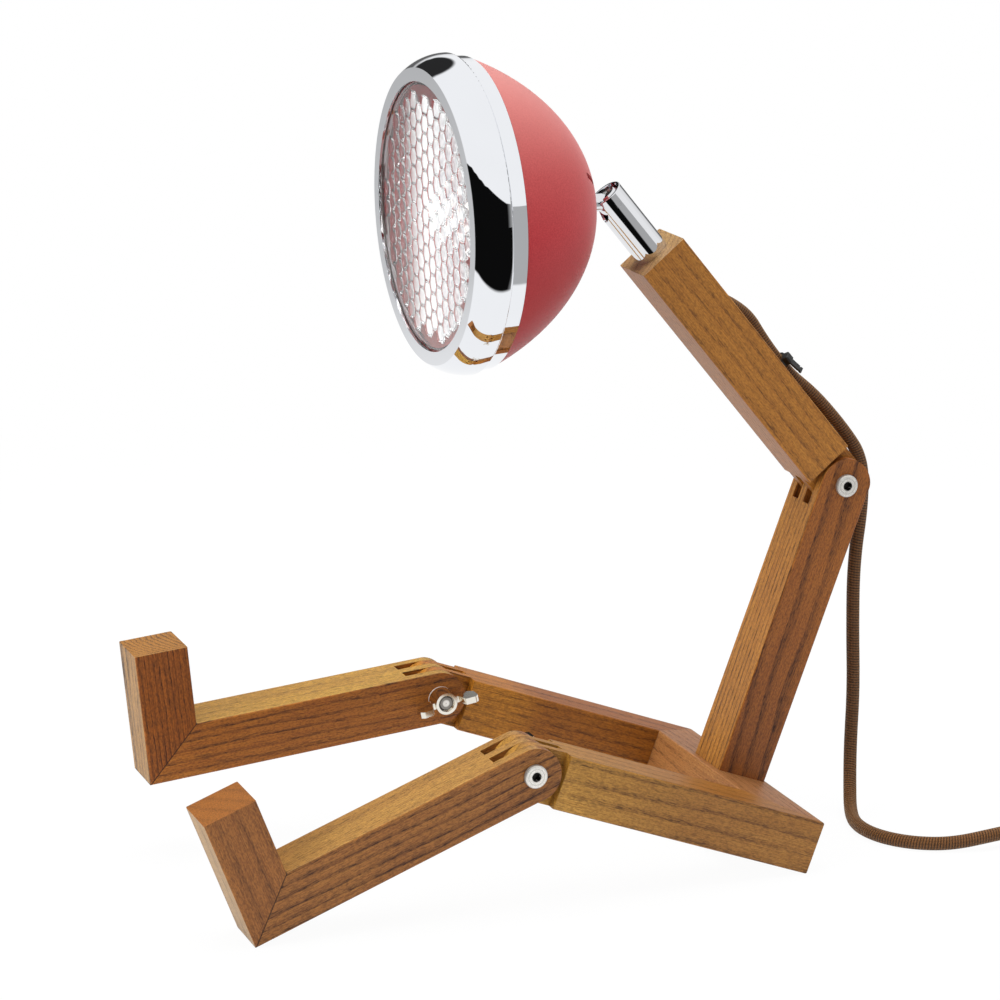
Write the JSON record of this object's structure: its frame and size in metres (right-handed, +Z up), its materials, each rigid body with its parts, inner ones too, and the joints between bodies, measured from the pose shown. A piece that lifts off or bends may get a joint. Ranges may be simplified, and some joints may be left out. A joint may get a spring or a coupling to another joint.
{
  "type": "desk lamp",
  "caption": "Desk lamp shaped like a seated figure, with timber legs, body and neck on wing-nut joints, a round head that turns and tilts, a textile lead with an in-line switch and a plug.",
  "frame": {"origin": "on the surface the lamp sits on, under the middle of the box round the lamp without its lead", "axes": "+Z up, the lamp faces -Y, its left leg is on +X"},
  "size_m": [0.1881, 0.5336, 0.3717],
  "materials": {
    "timber": "oiled, satin, straight dark-streaked grain",
    "dowel": "plain beech",
    "bolt_steel": "nickel-plated steel",
    "inner_steel": "zinc-plated steel",
    "tube_steel": "satin nickel",
    "shell_paint": "red, matte, finely textured",
    "bezel_chrome": "mirror chrome",
    "lens_clear": "clear, patterned inside",
    "gasket_rubber": "matte black",
    "holder_white": "white, glazed look",
    "bulb_frost": "frosted",
    "cord_braid": "brown braid over the mains flex",
    "cord_core": "sheathed flex",
    "tie_black": "black nylon",
    "switch_black": "black, satin",
    "rocker_black": "black, gloss",
    "plug_black": "black, satin",
    "pin_nickel": "nickel-plated brass"
  },
  "bodies": {
    "hips": {"left_thigh": "timber", "right_thigh": "timber", "hip_crossbar": "timber", "hip_dowels": "dowel", "torso_post": "timber", "post_dowels": "dowel", "post_screw": "inner_steel", "elbow_bolt": "bolt_steel", "elbow_washer": "bolt_steel", "cord_drop": "cord_braid", "cord_lead": "cord_braid", "cord_tail": "cord_braid", "cord_coil": "cord_braid", "coil_tie": "tie_black", "switch_base": "switch_black", "switch_cover": "switch_black", "switch_reliefs": "tie_black", "plug_relief": "tie_black", "plug_body": "plug_black", "plug_pins": "pin_nickel"},
    "left_leg": {"left_shin": "timber", "left_foot": "timber", "left_foot_dowels": "dowel", "left_knee_bolt": "bolt_steel", "left_knee_washer": "bolt_steel"},
    "right_leg": {"right_shin": "timber", "right_foot": "timber", "right_foot_dowels": "dowel", "right_knee_bolt": "bolt_steel", "right_knee_washer": "bolt_steel"},
    "left_knee_nut": {"left_knee_wing_nut": "bolt_steel"},
    "right_knee_nut": {"right_knee_wing_nut": "bolt_steel"},
    "elbow_nut": {"elbow_wing_nut": "bolt_steel"},
    "neck": {"neck_beam": "timber", "swivel_insert": "inner_steel", "swivel_set_screw": "inner_steel", "bore_lead": "cord_core", "clip_base": "tie_black", "clip_tie": "tie_black", "cord_neck": "cord_braid"},
    "swivel": {"swivel_tube": "tube_steel", "cross_pin": "tube_steel", "tube_lead": "cord_core"},
    "head": {"knuckle": "tube_steel", "knuckle_grub_screw": "inner_steel", "head_shell": "shell_paint", "bezel_ring": "bezel_chrome", "lens": "lens_clear", "lens_gasket": "gasket_rubber", "lens_retainer": "inner_steel", "dome_washer": "inner_steel", "lamp_bracket": "inner_steel", "stem_nut": "inner_steel", "lamp_holder": "holder_white", "holder_screws": "inner_steel", "led_bulb": "bulb_frost", "bulb_pins": "pin_nickel", "head_wires": "cord_core"},
    "rocker": {"switch_rocker": "rocker_black"}
  },
  "joints": [
    {"name": "left_knee", "type": "hinge", "parent": "hips", "child": "left_leg", "pos_m": [0.061, -0.01998, 0.06267], "axis": [1, 0, 0], "range_deg": [-136.3, 53.6]},
    {"name": "right_knee", "type": "hinge", "parent": "hips", "child": "right_leg", "pos_m": [-0.061, -0.01998, 0.06267], "axis": [1, 0, 0], "range_deg": [-120.9, 69.1]},
    {"name": "elbow", "type": "hinge", "parent": "hips", "child": "neck", "pos_m": [0, 0.15873, 0.16412], "axis": [1, 0, 0], "range_deg": [-120, 35], "deforming": ["cord_neck", "cord_drop"]},
    {"name": "head_swivel", "type": "hinge", "parent": "neck", "child": "swivel", "pos_m": [0, 0.04531, 0.30196], "axis": [0, -0.6354, 0.7722], "range_deg": [-90, 90]},
    {"name": "head_tilt", "type": "hinge", "parent": "swivel", "child": "head", "pos_m": [0, 0.04531, 0.30196], "axis": [1, 0, 0], "range_deg": [-50, 40]},
    {"name": "left_knee_nut_turn", "type": "hinge", "parent": "left_leg", "child": "left_knee_nut", "pos_m": [0.061, -0.01998, 0.06267], "axis": [-1, 0, 0], "range_deg": [0, 180]},
    {"name": "right_knee_nut_turn", "type": "hinge", "parent": "right_leg", "child": "right_knee_nut", "pos_m": [-0.061, -0.01998, 0.06267], "axis": [1, 0, 0], "range_deg": [0, 180]},
    {"name": "elbow_nut_turn", "type": "hinge", "parent": "hips", "child": "elbow_nut", "pos_m": [0, 0.15873, 0.16412], "axis": [-1, 0, 0], "range_deg": [0, 180]},
    {"name": "switch_rocker_tilt", "type": "hinge", "parent": "hips", "child": "rocker", "pos_m": [0.0642, 0.27072, 0.01045], "axis": [0.9848, 0.1736, 0], "range_deg": [0, 14]}
  ]
}
